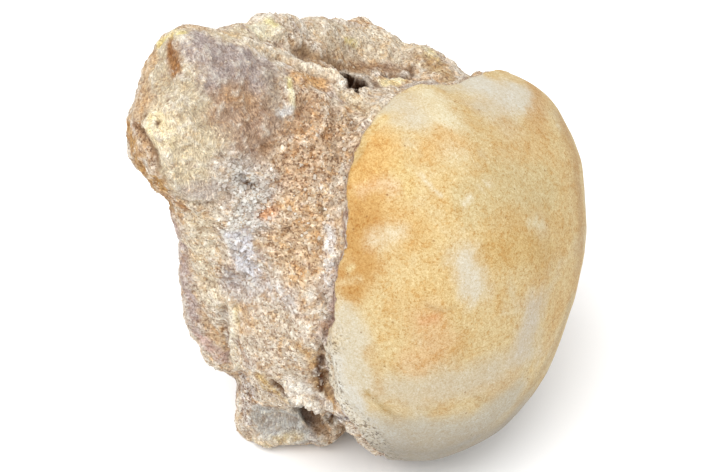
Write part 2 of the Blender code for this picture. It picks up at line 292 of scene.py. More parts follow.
# How far each place lies in a hollow, from the skin eased over its neighbours
EASING_ROUNDS = 6
edges = np.empty(2 * len(bone.data.edges), int)
bone.data.edges.foreach_get("vertices", edges)
first, second = edges.reshape(-1, 2).T
neighbours = np.bincount(first, minlength=len(skin)) + np.bincount(second, minlength=len(skin))
eased = skin.copy()
for _ in range(EASING_ROUNDS):
    gathered = [
        np.bincount(first, eased[second, axis], len(skin))
        + np.bincount(second, eased[first, axis], len(skin))
        for axis in range(3)
    ]
    eased = np.stack(gathered, axis=1) / neighbours[:, None]
hollow = np.einsum("ij,ij->i", eased - skin, outward)

# Screen colours below are those of stone in the tent, whose light is this much above
# a white that just clips
LIGHT_LEVEL = 1.75


def paint(colour):
    """A stone colour by its 0 to 255 screen values, as the linear share a shader takes."""
    shares = np.array(colour) / 255
    return np.where(shares > 0.04045, ((shares + 0.055) / 1.055) ** 2.4, shares / 12.92) / LIGHT_LEVEL


def blend(tint, share, colour):
    """Lays a colour over part of the tint."""
    tint += share[:, None] * (paint(colour) - tint)


# Clouds of colour: (their size, the size of their frayed edges, how frayed, seed, where
# they begin and are full, colour, strength)
BONE_CREAM, BONE_CLOUDS = (240, 209, 150), {
    "ochre clouds": (7.0, 2.6, 0.5, 6, (0.0, 0.6), (230, 186, 118), 0.5),
    "grey clouds": (8.0, 2.0, 0.3, 8, (0.15, 0.6), (232, 216, 184), 0.5),
}
ROCK_TAN, ROCK_CLOUDS = (222, 202, 174), {
    "rusty clouds": (6.0, 2.0, 0.6, 10, (0.0, 0.4), (212, 172, 124), 0.7),
    "pale clouds": (5.0, 1.8, 0.6, 12, (0.1, 0.4), (232, 220, 200), 0.7),
    "ashen clouds": (4.0, 1.5, 0.6, 14, (0.2, 0.5), (186, 162, 144), 0.6),
}


def clouded(ground, clouds):
    """A colour for each place on the skin: one ground colour with clouds laid on it."""
    tint = np.tile(paint(ground), (len(skin), 1))
    for size, edge_size, frayed, seed, (low, high), colour, strength in clouds.values():
        share = noise_at(skin, size, seed) + frayed * noise_at(skin, edge_size, seed + 1)
        blend(tint, strength * smooth_step(low, high, share), colour)
    return tint


bone_tint = clouded(BONE_CREAM, BONE_CLOUDS)
rock_tint = clouded(ROCK_TAN, ROCK_CLOUDS)
USUAL_GRIT, UNEVEN_GRIT = 0.7, 0.5
grit = USUAL_GRIT + UNEVEN_GRIT * noise_at(skin, 5.0, 16)

# Stains, and some painted shade: (line of columns and rows, half width, softness, colour,
# strength), each with edges that wander by so many millimetres
BROAD_WANDER, FINE_WANDER = 1.2, 0.7
wander = np.stack([
    BROAD_WANDER * noise_at(skin, 3.2, seed) + FINE_WANDER * noise_at(skin, 1.2, seed + 1)
    for seed in (20, 22, 24)
], axis=1)
BONE_STAINS_AND_SHADE = {
    "cream middle": ([(425, 190), (442, 240), (440, 290)], 6.0, 3.8, (243, 206, 138), 0.55),
    "grey patch at the top left": ([(402, 102), (418, 116)], 2.9, 2.4, (234, 218, 187), 0.79),
    "grey patch at the top": ([(478, 84), (500, 96), (520, 96)], 4.2, 2.9, (236, 224, 199), 0.92),
    "grey streak below it": ([(484, 108), (506, 124)], 2.4, 2.4, (233, 216, 184), 0.8),
    "ochre between the patches": ([(430, 96), (446, 120), (450, 145)], 2.8, 2.4, (251, 232, 188), 0.92),
    "orange spot": ([(430, 150), (447, 134), (460, 141)], 1.8, 1.7, (234, 182, 104), 0.75),
    "golden field": ([(394, 168), (408, 184)], 2.4, 1.9, (240, 202, 124), 0.6),
    "orange shoulder": ([(532, 84), (540, 104), (536, 130)], 1.9, 1.5, (224, 176, 110), 0.75),
    "ochre behind the patch": ([(508, 130), (532, 145), (504, 160)], 3.0, 2.4, (234, 195, 132), 0.6),
    "orange along the rim": ([(376, 148), (364, 175), (362, 205)], 3.2, 2.1, (238, 186, 106), 0.85),
    "orange below it": ([(362, 215), (358, 245), (362, 264), (354, 280)], 3.3, 2.2, (217, 164, 90), 0.95),
    "orange run": ([(385, 200), (400, 215), (420, 232)], 2.0, 1.9, (232, 184, 110), 0.62),
    "yellow lip": ([(384, 118), (366, 140), (354, 163)], 0.9, 0.6, (244, 212, 148), 0.85),
    "pink swirl": ([(360, 190), (376, 184), (392, 188)], 1.1, 0.9, (244, 204, 156), 0.6),
    "white mottles": ([(376, 240), (398, 228)], 1.5, 1.4, (246, 226, 188), 0.66),
    "white spots by the rim": ([(344, 281), (360, 279)], 0.5, 0.6, (248, 228, 178), 0.5),
    "white spot above them": ([(348, 269), (352, 267)], 0.4, 0.4, (250, 228, 170), 0.8),
    "grey patch at the left": (
        [(346, 322), (353, 340), (352, 360), (362, 384)],
        3.2, 1.9, (234, 218, 186), 0.86,
    ),
    "olive field": ([(476, 200), (500, 186), (545, 190)], 4.2, 1.5, (231, 204, 148), 0.84),
    "grey drop": ([(466, 260), (470, 274), (473, 290)], 2.3, 1.9, (240, 226, 198), 0.88),
    "ochre field at the right": ([(496, 250), (520, 246), (548, 256)], 2.9, 1.9, (230, 190, 120), 0.84),
    "ochre field above it": ([(500, 218), (560, 224)], 1.8, 1.7, (228, 186, 118), 0.7),
    "light fleck": ([(530, 223), (543, 225)], 0.7, 0.5, (248, 230, 186), 0.8),
    "peach cloud": ([(425, 318), (440, 345), (418, 362)], 2.8, 2.2, (240, 196, 138), 0.79),
    "peach spot": ([(424, 322), (434, 318)], 0.8, 0.8, (238, 176, 118), 0.75),
    "ochre streak": ([(368, 350), (379, 370), (379, 390)], 1.0, 1.0, (226, 186, 122), 0.75),
    "olive streak": ([(364, 391), (374, 398), (386, 411), (397, 417)], 0.45, 0.5, (200, 164, 90), 0.95),
    "ochre fleck": ([(483, 366), (494, 371)], 1.0, 0.8, (222, 186, 122), 0.8),
    "second ochre fleck": ([(476, 398), (484, 402)], 1.0, 0.8, (220, 188, 130), 0.8),
    "third ochre fleck": ([(424, 412), (436, 406)], 1.0, 0.8, (230, 200, 142), 0.7),
    # Grey base, darkened further as painted shade on the ball's underside
    "grey base with painted shade": ([(372, 430), (420, 430), (470, 426), (510, 398)], 3.8, 3.0, (208, 196, 172), 0.84),
    "grey patch low at the right": ([(520, 352), (535, 306)], 2.6, 2.3, (226, 211, 188), 0.79),
    "grey lower middle": ([(398, 390), (440, 386), (492, 374)], 3.6, 3.2, (228, 211, 180), 0.75),
    # Brown along the right edge, darkened further as painted shade where the ball turns from the light
    "brown right edge with painted shade": ([(562, 120), (576, 170), (581, 215), (578, 270)], 1.9, 1.9, (210, 168, 110), 0.7),
    # Painted shade along the lower right edge
    "painted shade of the lower edge": ([(572, 300), (554, 350), (524, 395)], 1.6, 1.6, (210, 184, 138), 0.75),
    "worn rim": (
        [(331, 358), (338, 385), (352, 406), (368, 426), (394, 443)],
        2.8, 1.4, (240, 228, 204), 1.0,
    ),
    # Painted shade along the lower rim
    "painted shade of the lower rim": ([(400, 452), (440, 452), (478, 436)], 1.0, 0.7, (196, 188, 172), 0.9),
    # Painted shade along the bottom edge
    "painted shade of the bottom edge": (
        [(385, 456), (430, 458), (470, 450), (500, 430), (525, 400)],
        2.0, 1.9, (196, 187, 168), 0.6,
    ),
    "first scratch": ([(420, 174), (428, 184), (441, 196)], 0.3, 0.3, (250, 230, 190), 0.8),
    "second scratch": ([(464, 206), (468, 198), (490, 181)], 0.3, 0.3, (252, 236, 200), 0.9),
    "specks by the peach spot": ([(424, 303), (440, 311), (456, 306)], 0.25, 0.4, (190, 150, 96), 0.6),
}
# The same for the rock, with how sandy the place is at the end
ROCK_STAINS_AND_SHADE = {
    "left part of the process": ([(170, 60), (200, 110), (195, 170)], 6.5, 2.0, (207, 187, 154), 1.0, 0.08),
    "greyer top of it": ([(166, 76), (184, 88)], 2.6, 2.2, (192, 173, 142), 0.7, 0.08),
    "mauve of the process": (
        [(205, 46), (235, 58), (262, 72), (225, 78)],
        3.8, 1.4, (175, 157, 145), 1.0, 0.12,
    ),
    "rust of the process": ([(233, 108), (258, 116), (250, 138)], 4.3, 1.9, (178, 147, 119), 1.0, 0.15),
    "ash beside the streak": ([(270, 74), (276, 96)], 1.9, 1.5, (168, 148, 124), 0.75, 0.12),
    "ochre of the process": ([(230, 98), (248, 102)], 1.4, 1.4, (192, 150, 106), 0.6, 0.15),
    "cream of the process": ([(155, 128), (180, 150), (205, 175)], 4.2, 2.4, (222, 201, 164), 1.0, 0.06),
    "yellow cream": ([(153, 122), (164, 140)], 1.6, 0.9, (240, 218, 168), 0.8, 0.06),
    "tan top left": ([(150, 62), (146, 90), (138, 108)], 1.8, 1.3, (204, 168, 124), 0.85, 0.4),
    "brown patch": ([(171, 46), (176, 68)], 1.8, 1.0, (160, 112, 66), 1.0, 0.5),
    "yellow edge": ([(158, 42), (170, 35), (182, 33)], 0.9, 0.6, (226, 204, 134), 0.9, 0.2),
    "tip": ([(127, 130), (136, 150), (146, 175), (158, 202)], 1.7, 0.6, (190, 146, 90), 1.0, 0.6),
    "band of the tip": (
        [(140, 124), (145, 138), (151, 158), (159, 180), (167, 198)],
        1.3, 0.6, (190, 152, 110), 0.95, 0.9,
    ),
    "shaded fold of the tip": (
        [(132, 119), (145, 135), (154, 150), (160, 168)],
        0.5, 0.4, (134, 100, 70), 0.7, 0.6,
    ),
    "ochre foot of the tip": ([(154, 176), (162, 190)], 1.0, 0.7, (208, 160, 92), 0.8, 0.7),
    "upper pit of the process": ([(158, 122), (158, 125)], 0.35, 0.3, (118, 84, 52), 1.0, 0.2),
    "pit beside it": ([(147, 117), (146, 121)], 0.4, 0.3, (140, 104, 66), 0.9, 0.4),
    "lower pit of the process": ([(160, 139), (164, 141)], 0.35, 0.3, (140, 104, 72), 0.9, 0.2),
    "pink edge": ([(172, 222), (182, 262), (190, 300), (198, 335)], 1.5, 0.9, (190, 166, 152), 0.95, 0.5),
    "pink foot": ([(204, 342), (224, 358)], 1.8, 1.0, (210, 176, 158), 0.95, 0.5),
    "cream side": ([(197, 209), (202, 260), (212, 300)], 2.5, 1.5, (230, 210, 176), 0.9, 0.6),
    "mauve under the process": ([(192, 190), (206, 194), (218, 186)], 1.6, 1.2, (192, 174, 160), 0.8, 0.1),
    "brown spot at the fold": ([(176, 203), (182, 206)], 1.0, 0.7, (190, 138, 82), 0.95, 0.6),
    "grey round the calcite": ([(232, 170), (262, 180), (256, 225)], 3.2, 1.8, (216, 202, 186), 0.8, 0.8),
    "calcite": ([(242, 180), (252, 195), (242, 225)], 2.2, 1.2, (236, 226, 210), 0.9, 0.9),
    "dark pits of the calcite": ([(241, 180), (250, 186)], 0.6, 0.4, (126, 110, 100), 0.8, 0.5),
    "calcite streak": ([(240, 238), (247, 262), (252, 285)], 1.9, 0.9, (236, 228, 222), 1.0, 0.4),
    "dark crystals": ([(228, 272), (234, 284)], 0.9, 0.6, (132, 118, 116), 0.9, 0.6),
    "grey below it": ([(235, 284), (265, 292), (285, 300)], 2.8, 1.6, (208, 194, 180), 0.9, 0.6),
    "orange sand": ([(300, 215), (290, 240), (300, 262)], 4.0, 2.2, (217, 182, 139), 0.85, 1.0),
    "orange spot of sand": ([(262, 214), (270, 211)], 1.0, 0.8, (220, 160, 110), 0.85, 0.9),
    "upper sand": ([(310, 110), (325, 135), (300, 165)], 4.4, 1.8, (212, 176, 137), 0.95, 1.0),
    "sand by the rim": ([(345, 125), (338, 160), (336, 195)], 2.0, 1.2, (208, 182, 150), 0.8, 1.0),
    "orange by the crest": ([(296, 76), (316, 82)], 1.9, 0.9, (222, 172, 112), 0.95, 0.7),
    "yellow streak": ([(290, 80), (291, 92), (292, 106)], 0.45, 0.4, (228, 214, 146), 0.85, 0.3),
    "white patch": ([(281, 112), (289, 108)], 0.9, 0.5, (224, 216, 204), 0.95, 0.2),
    "brown foot of the process": ([(306, 104), (290, 125), (266, 150)], 1.0, 0.9, (172, 134, 98), 0.8, 0.6),
    "cream below the pit": ([(352, 100), (372, 108)], 2.0, 1.1, (226, 204, 168), 0.9, 0.6),
    "shoulder of the arch": ([(215, 35), (245, 33)], 1.8, 1.0, (218, 198, 162), 0.9, 0.3),
    # The valley is tan-brown, partly its own colour and partly painted shade under the crest
    "valley": ([(306, 50), (318, 55), (335, 60), (355, 66)], 2.3, 1.3, (194, 162, 124), 0.95, 0.6),
    "shade behind the crest": ([(304, 55), (322, 61), (342, 68)], 1.6, 1.1, (162, 128, 92), 0.75, 0.3),
    "brown round the pit": ([(344, 72), (356, 80), (368, 84)], 1.5, 1.0, (120, 86, 58), 0.85, 0.3),
    "crest": ([(240, 42), (264, 50), (288, 60), (312, 68), (338, 76)], 1.2, 0.4, (236, 216, 184), 1.0, 0.35),
    "yellow lump": ([(256, 30), (276, 28)], 1.9, 0.9, (230, 216, 181), 1.0, 0.1),
    "yellow fleck of the lump": ([(270, 20), (277, 23)], 0.8, 0.7, (230, 210, 132), 0.7, 0.1),
    "far wall": ([(325, 30), (365, 40), (400, 50)], 3.4, 1.4, (224, 205, 174), 0.9, 0.5),
    "foot of the far wall": ([(355, 66), (380, 69), (410, 70)], 1.3, 0.9, (166, 130, 94), 0.9, 0.6),
    "yellow fleck of the wall": ([(347, 41), (355, 43)], 0.7, 0.5, (224, 200, 122), 0.7, 0.3),
    "pale lump of the far wall": ([(426, 48), (435, 60), (446, 71)], 1.1, 0.7, (230, 211, 158), 0.9, 0.2),
    "right of the far wall": ([(420, 58), (445, 68), (468, 76)], 2.0, 1.1, (188, 156, 113), 0.9, 0.6),
    "chip": ([(384, 82), (400, 80)], 1.0, 0.5, (238, 216, 162), 0.95, 0.2),
    "mauve strip of bone": ([(405, 86), (440, 84), (474, 78)], 1.0, 0.6, (180, 160, 142), 0.95, 0.3),
    "crack in the far wall": ([(411, 66), (413, 75)], 0.3, 0.3, (84, 62, 46), 0.8, 0.3),
    "crack above the chip": ([(384, 75), (398, 74), (412, 77)], 0.3, 0.3, (84, 62, 44), 0.9, 0.3),
    "pale strip beside the gap": (
        [(333, 306), (329, 322), (328, 346), (331, 366)],
        0.9, 0.5, (228, 210, 194), 1.0, 0.4,
    ),
    "white crystals by the rim": ([(330, 226), (330, 255), (328, 280)], 1.0, 0.6, (238, 226, 212), 0.95, 0.7),
    "mauve groove": ([(343, 215), (341, 250), (336, 285), (334, 298)], 1.0, 0.5, (168, 138, 116), 0.95, 0.4),
    "tan low sand": ([(275, 325), (300, 345), (280, 365)], 4.6, 2.0, (220, 200, 172), 0.9, 0.8),
    "yellow below the grey": ([(236, 308), (237, 322)], 0.8, 0.5, (236, 214, 160), 0.9, 0.4),
    "tan above the gap": ([(328, 308), (318, 326), (306, 338)], 1.8, 1.0, (222, 203, 178), 1.0, 0.7),
    "ochre above the gap": (
        [(302, 346), (311, 352), (316, 366), (320, 385), (326, 400)],
        1.2, 0.9, (206, 166, 112), 0.9, 0.7,
    ),
    "brown gap": (
        [(318, 355), (320, 362), (315, 370), (321, 376), (322, 386), (326, 394)],
        0.75, 0.45, (92, 52, 18), 1.0, 0.9,
    ),
    "ochre below the gap": ([(328, 396), (334, 406)], 1.2, 0.8, (206, 166, 112), 0.9, 0.6),
    "light ridge": ([(232, 304), (235, 330), (237, 366)], 1.1, 0.8, (242, 225, 192), 0.95, 0.3),
    "ledge": ([(290, 384), (308, 392), (326, 405)], 1.5, 0.5, (238, 226, 206), 1.0, 0.35),
    "yellow ridge": ([(262, 378), (269, 387), (280, 396)], 1.5, 0.9, (208, 174, 118), 1.0, 0.9),
    "brown groove": ([(273, 383), (281, 391), (290, 399)], 0.6, 0.45, (104, 68, 36), 0.95, 0.3),
    "speckled face": ([(248, 382), (250, 400), (252, 422)], 2.0, 1.0, (218, 203, 187), 0.95, 1.3),
    "grey facet": ([(264, 423), (285, 426), (308, 433)], 3.2, 1.2, (191, 183, 169), 1.0, 0.15),
    "shade of the hollow": ([(301, 408), (309, 417)], 1.8, 1.0, (60, 47, 36), 1.0, 0.2),
    "purple crystals": ([(330, 416), (344, 420)], 1.1, 0.5, (122, 106, 104), 0.9, 0.7),
    "brown right of the hollow": ([(322, 426), (342, 432)], 2.0, 1.0, (176, 142, 106), 0.9, 0.7),
    "yellow lip": ([(256, 441), (288, 438), (300, 438)], 0.8, 0.5, (206, 181, 132), 0.8, 0.3),
}


def stained(tint, stain):
    """Lays the mark, a stain or a painted shade, on the tint and gives how much of it each place took."""
    line, half_width, softness, colour, strength = stain[:5]
    gap = from_line(uncarved + min(1, half_width / 2) * wander, [seen_at(*place) for place in line])
    share = strength * (1 - smooth_step(half_width - softness, half_width + softness, gap))
    blend(tint, share, colour)
    return share


# What age has laid over the stains, with painted shade low down. Each pair is where it
# begins and is full, along the bone's height (as it stood in the animal), above the bed, or
# behind the rim
COOLER_BONE, CLEANER_ROCK, BRIGHTEST = (1.0, 1.05, 1.13), (1.29, 1.39, 1.54), 0.86
BELOW_MIDDLE, FOOT, CURVED_UNDER, WORN_EDGE = (-3.0, -10.0), (-15.0, -28.0), (24.0, 13.0), (3.6, 1.4)
FOOT_GREY_AND_SHADE, CHALK, UNDERSIDE_SHADE = (206, 196, 176), (240, 229, 207), (164, 156, 142)
for stain in BONE_STAINS_AND_SHADE.values():
    stained(bone_tint, stain)
bone_tint *= COOLER_BONE
up = along_bone[:, 2]
foot = up + 1.5 * noise_at(skin, 4.0, 36)
edge = behind_rim + 0.8 * noise_at(skin, 2.0, 37)
below_middle = smooth_step(*BELOW_MIDDLE, up)
# The foot is greyer and darker: grey stone with painted shade
blend(bone_tint, 0.8 * smooth_step(*FOOT, foot), FOOT_GREY_AND_SHADE)
blend(bone_tint, 0.9 * below_middle * smooth_step(*WORN_EDGE, edge), CHALK)
# Painted shade on what curves under, low above the bed
blend(bone_tint, 0.7 * smooth_step(*CURVED_UNDER, skin[:, 2]), UNDERSIDE_SHADE)
for stain in ROCK_STAINS_AND_SHADE.values():
    grit += stained(rock_tint, stain) * (stain[5] - grit)

# A dark line runs along the rim. Painted shade darkens the hollows, and high places are paler
RIM_LINE, RIM_LINE_IN_FRONT, RIM_LINE_WIDTH = (150, 116, 96), 0.5, 0.5
HOLLOW_SHADE, RAISED_PALER, BONE_HOLLOW_SHADE = (134, 100, 72), (244, 232, 210), (208, 160, 98)
PIT_EDGE, PIT_FLOOR = (116, 80, 52), (112, 72, 44)
rim_line = np.exp(-(((behind_rim + RIM_LINE_IN_FRONT) / RIM_LINE_WIDTH) ** 2)) * smooth_step(-12.0, -7.0, up)
blend(rock_tint, 0.7 * rim_line, RIM_LINE)
# Painted shade in the rock's hollows
blend(rock_tint, 0.55 * smooth_step(0.06, 0.35, hollow), HOLLOW_SHADE)
# Raised places of the rock are paler
blend(rock_tint, 0.50 * smooth_step(0.03, 0.22, -hollow), RAISED_PALER)
# Ochre painted shade in the ball's hollows
blend(bone_tint, 0.5 * smooth_step(0.03, 0.20, hollow), BONE_HOLLOW_SHADE)
# The pit is dark brown, partly its own colour and partly painted shade of the deep hole
blend(rock_tint, 0.9 * smooth_step(0.0, 0.2, pit), PIT_EDGE)
blend(rock_tint, smooth_step(0.2, 0.6, pit), PIT_FLOOR)

# The groove beside the rim is stained mauve, and chalk from the worn edge whitens it below
MAUVE, CHALKY_ROCK = (170, 140, 122), (214, 200, 184)
mauve = smooth_step(-9.0, -5.0, up) * smooth_step(9.0, 3.0, up) * smooth_step(-2.2, -1.2, behind_rim)
chalky = smooth_step(-12.0, -19.0, up) * smooth_step(-1.7, -0.6, behind_rim)
blend(rock_tint, 0.9 * mauve, MAUVE)
blend(rock_tint, 0.9 * chalky, CHALKY_ROCK)
# Crumbs shade one another, so the rock is lighter than it looks
rock_tint = np.minimum(rock_tint * CLEANER_ROCK, BRIGHTEST)

# Where calcite crystals stand: (line of columns and rows, half width, how dense)
CRYSTALS = {
    "patch under the process": ([(238, 178), (252, 200), (244, 225)], 3.2, 1.0),
    "streak below it": ([(238, 236), (246, 262), (252, 284)], 1.7, 1.0),
    "beside the rim": ([(329, 205), (328, 250), (325, 290), (328, 320)], 1.0, 0.5),
    "upper crust": ([(311, 116), (300, 150), (316, 178)], 4.0, 0.10),
    "orange sand": ([(300, 215), (318, 250)], 3.5, 0.10),
    "along the upper rim": ([(362, 118), (348, 150), (344, 190)], 1.2, 0.25),
    "low crust": ([(270, 320), (290, 350)], 4.0, 0.05),
}
THINS_OUT_FROM, THINS_OUT_TO = 0.5, 1.3
crystalline = np.zeros(len(skin))
for line, half_width, dense in CRYSTALS.values():
    gap = from_line(uncarved + wander, [seen_at(*place) for place in line])
    bare = smooth_step(half_width * THINS_OUT_FROM, half_width * THINS_OUT_TO, gap)
    crystalline = np.maximum(crystalline, dense * (1 - bare))


def keep_on(thing, name, values):
    """Stores numbers or colours on the mesh's points."""
    if values.ndim == 1:
        layer = thing.data.attributes.new(name, "FLOAT", "POINT")
        layer.data.foreach_set("value", values.astype(np.float32))
    else:
        layer = thing.data.attributes.new(name, "FLOAT_COLOR", "POINT")
        rows = np.column_stack([values, np.ones(len(values))])
        layer.data.foreach_set("color", rows.astype(np.float32).ravel())


bone_ochre = smooth_step(0.38, 0.62, 1 - bone_tint[:, 2] / bone_tint[:, 0])
in_rock = smooth_step(-1.0, -1.8, behind_rim)
above_bed = smooth_step(0.5, 1.5, skin[:, 2])
for name, values in (
    ("bone_tint", bone_tint), ("rock_tint", rock_tint), ("grit", grit), ("behind_rim", behind_rim),
    ("bone_ochre", bone_ochre), ("below_middle", below_middle),
    ("sandy", grit**2 * (1 - mauve) * in_rock * above_bed),
    ("crystalline", crystalline * (1 - mauve) * in_rock * above_bed),
):
    keep_on(bone, name, values)


class Socket:
    """A node's output that takes part in sums as a number does."""

    def __init__(self, nodes, link):
        self.nodes, self.link = nodes, link

    def sum(self, operation, *terms):
        """The terms put together by that operation of a maths node."""
        return self.nodes.add("ShaderNodeMath", {"operation": operation}, dict(enumerate(terms)))

    def __add__(self, other):
        return self.sum("ADD", self, other)

    def __sub__(self, other):
        return self.sum("SUBTRACT", self, other)

    def __rsub__(self, other):
        return self.sum("SUBTRACT", other, self)

    def __mul__(self, other):
        return self.sum("MULTIPLY", self, other)

    def __rmul__(self, other):
        return self.sum("MULTIPLY", other, self)

    def step(self, low, high):
        """0 before low and 1 past high, eased between."""
        settings = {"interpolation_type": "SMOOTHSTEP"}
        return self.nodes.add("ShaderNodeMapRange", settings, {0: self, 1: low, 2: high})


class Nodes:
    """A node tree, filled node by node."""

    def __init__(self, tree):
        self.tree = tree

    def add(self, kind, settings=None, sockets=None, output=0):
        """One node: its settings first, then the values or links of its sockets."""
        made = self.tree.nodes.new(kind)
        for name, value in (settings or {}).items():
            setattr(made, name, value)
        for name, value in (sockets or {}).items():
            self.feed(made.inputs[name], value)
        return Socket(self, made.outputs[output])

    def feed(self, socket, value):
        if isinstance(value, Socket):
            self.tree.links.new(value.link, socket)
        else:
            socket.default_value = value

    def mix(self, share, under, colour):
        """A stone colour, by its screen values, laid over the one under it."""
        sockets = {0: share, 6: under, 7: (*paint(colour), 1.0)}
        return self.add("ShaderNodeMix", {"data_type": "RGBA"}, sockets, output=2)

    def mottled(self, colour, mottles):
        """The colour with mottles on it: where each is, and what it multiplies the colour by."""
        for share, tint in mottles.values():
            settings = {"data_type": "RGBA", "blend_type": "MULTIPLY"}
            colour = self.add("ShaderNodeMix", settings, {0: share, 6: colour, 7: (*tint, 1.0)}, output=2)
        return colour

    def attribute(self, name, output):
        return self.add("ShaderNodeAttribute", {"attribute_name": name}, output=output)

    def noise(self, place, size_mm, detail, roughness):
        sockets = {"Vector": place, "Scale": 1 / (size_mm * MM), "Detail": detail, "Roughness": roughness}
        return self.add("ShaderNodeTexNoise", {}, sockets)


# Finish: satin stone on the ball, packed sand grains and crystals on the rock
stone = bpy.data.materials.new("fossil bone and rock")
stone.use_nodes = True
nodes = Nodes(stone.node_tree)
place = nodes.add("ShaderNodeTexCoord", output="Object")


def grain(where, size_mm, output):
    """Packed grains: a random number for each, or how far a place is from its middle."""
    sockets = {"Vector": where, "Scale": 1 / (size_mm * MM)}
    cells = nodes.add("ShaderNodeTexVoronoi", {}, sockets, output=output)
    return nodes.add("ShaderNodeSeparateColor", {}, {0: cells}) if output == "Color" else cells


def jostled(amount_mm, size_mm, detail=3.0):
    """The place moved about, so that what is drawn there has uneven edges."""
    sockets = {"Vector": place, "Scale": 1 / (size_mm * MM), "Detail": detail}
    push = nodes.add("ShaderNodeTexNoise", {}, sockets, output="Color")
    push = nodes.add("ShaderNodeVectorMath", {"operation": "SCALE"}, {0: push, "Scale": amount_mm * MM})
    return nodes.add("ShaderNodeVectorMath", {"operation": "ADD"}, {0: place, 1: push})


rim = nodes.attribute("behind_rim", "Fac")
ball_mask = (rim + (nodes.noise(place, 0.9, 4, 0.7) - 0.5) * 1.3).step(-0.10, 0.10)

# Smooth bone: cream, stippled with ochre where it is stained. The worn edge beside the
# rock is pitted. Each mottle is (where it lies, what it multiplies the colour by)
finest = nodes.noise(place, 0.24, 2, 0.6)
fine = nodes.noise(place, 0.45, 3, 0.8)
middling = nodes.noise(place, 1.1, 5, 0.75)
broad = nodes.noise(place, 3.2, 6, 0.7)
chips = nodes.noise(place, 0.56, 3, 0.65)
ochre = nodes.attribute("bone_ochre", "Fac") * 0.75 + 0.25
pores = grain(place, 1.5, "Distance").step(0.16, 0.08) * grain(place, 1.5, "Color").step(0.86, 0.90)
worn = (1 - (rim + (broad - 0.5) * 6).step(2.4, 5.0)) * nodes.attribute("below_middle", "Fac")
ball_colour = nodes.mottled(nodes.attribute("bone_tint", "Color"), {
    "ochre clouds": (broad.step(0.50, 0.62) * ochre * 0.6, (0.93, 0.80, 0.60)),
    "pale clouds": (broad.step(0.48, 0.36) * 0.6, (1.06, 1.10, 1.18)),
    "ochre blots": (middling.step(0.52, 0.64) * ochre * 0.8, (0.88, 0.74, 0.54)),
    "pale blots": (middling.step(0.47, 0.35) * 0.7, (1.10, 1.16, 1.26)),
    "brown specks": (fine.step(0.53, 0.66) * (ochre * 0.65 + 0.35), (0.80, 0.66, 0.46)),
    "pale specks": (fine.step(0.47, 0.33) * (ochre * 0.5 + 0.5), (1.18, 1.22, 1.34)),
    "brown dots": (finest.step(0.53, 0.64) * (ochre * 0.5 + 0.4), (0.82, 0.72, 0.56)),
    "pale dots": (finest.step(0.47, 0.36) * 0.7, (1.14, 1.16, 1.20)),
    "pores": (pores * 0.8, (0.50, 0.36, 0.22)),
    "pits of the worn edge": (worn * chips.step(0.450, 0.405), (0.38, 0.33, 0.29)),
    "chalk of the worn edge": (worn * chips.step(0.52, 0.60), (1.18, 1.20, 1.22)),
})

# Rock: crumbs of every tone, with brown painted shade between them, and fine fibres where
# there is little grit
crumbled = jostled(0.5, 0.6)
coarse_gap = grain(crumbled, 0.9, "Distance")
coarse_tone = grain(crumbled, 0.9, "Color")
fine_gap = grain(crumbled, 0.45, "Distance")
fine_tone = grain(crumbled, 0.45, "Color")
speck_tone = grain(place, 0.27, "Color")
rust = nodes.noise(place, 1.9, 6, 0.75)
ash = nodes.noise(jostled(2.0, 3.0), 2.3, 6, 0.75)
fibres = nodes.add(
    "ShaderNodeTexNoise", {"noise_type": "RIDGED_MULTIFRACTAL"},
    {"Vector": jostled(0.8, 1.2), "Scale": 1 / (1.1 * MM), "Detail": 5.0, "Roughness": 0.6},
)


HAIR_SIZE, HAIR_THICKNESS = 0.26, 0.14
HAIR_DIRECTIONS_DEG = ((35, 20), (-20, 70), (100, -30))


def hairs(tilt_deg, lean_deg):
    """Thin, gently bent fibres that run one way."""
    run = (math.radians(tilt_deg), math.radians(lean_deg), 0.0)
    sockets = {"Vector": jostled(2.2, 2.6, 0.0), "Rotation": run, "Scale": (1.0, 1.0, HAIR_THICKNESS)}
    return nodes.noise(nodes.add("ShaderNodeMapping", {}, sockets), HAIR_SIZE, 1, 0.5)


grit_here = nodes.attribute("grit", "Fac")
smoother = grit_here.sum("MAXIMUM", 1 - grit_here, 0.0)
speckled = grit_here * 0.75 + 0.12
flecked = speckled * 0.7 + 0.2
rock_colour = nodes.mottled(nodes.attribute("rock_tint", "Color"), {
    "rust": (rust.step(0.51, 0.60) * (grit_here * 0.4 + 0.3), (0.92, 0.70, 0.44)),
    "between the rust": (rust.step(0.47, 0.38) * 0.5, (1.10, 1.12, 1.14)),
    "ash": (ash.step(0.54, 0.62) * 0.5, (0.78, 0.70, 0.72)),
    "between the ash": (ash.step(0.45, 0.36) * 0.5, (1.16, 1.12, 1.04)),
    "pale crumbs": (coarse_tone.step(0.62, 0.92) * 0.8 * speckled, (1.26, 1.28, 1.30)),
    "brown crumbs": (coarse_tone.step(0.36, 0.10) * 0.7 * speckled, (0.76, 0.64, 0.53)),
    "white sand": (fine_tone.step(0.72, 0.92) * speckled, (1.40, 1.44, 1.50)),
    "brown sand": (fine_tone.step(0.28, 0.12) * 0.8 * speckled, (0.58, 0.46, 0.37)),
    # Brown painted shade in the dips between crumbs
    "painted shade between crumbs": (coarse_gap.step(0.46, 0.74) * 0.55 * speckled, (0.62, 0.50, 0.40)),
    "dark flecks": (speck_tone.step(0.20, 0.14) * flecked, (0.42, 0.34, 0.31)),
    "bright flecks": (speck_tone.step(0.82, 0.90) * flecked, (1.36, 1.38, 1.42)),
    "fibres": (fibres.step(0.40, 0.70) * smoother * 0.6, (1.30, 1.28, 1.22)),
})
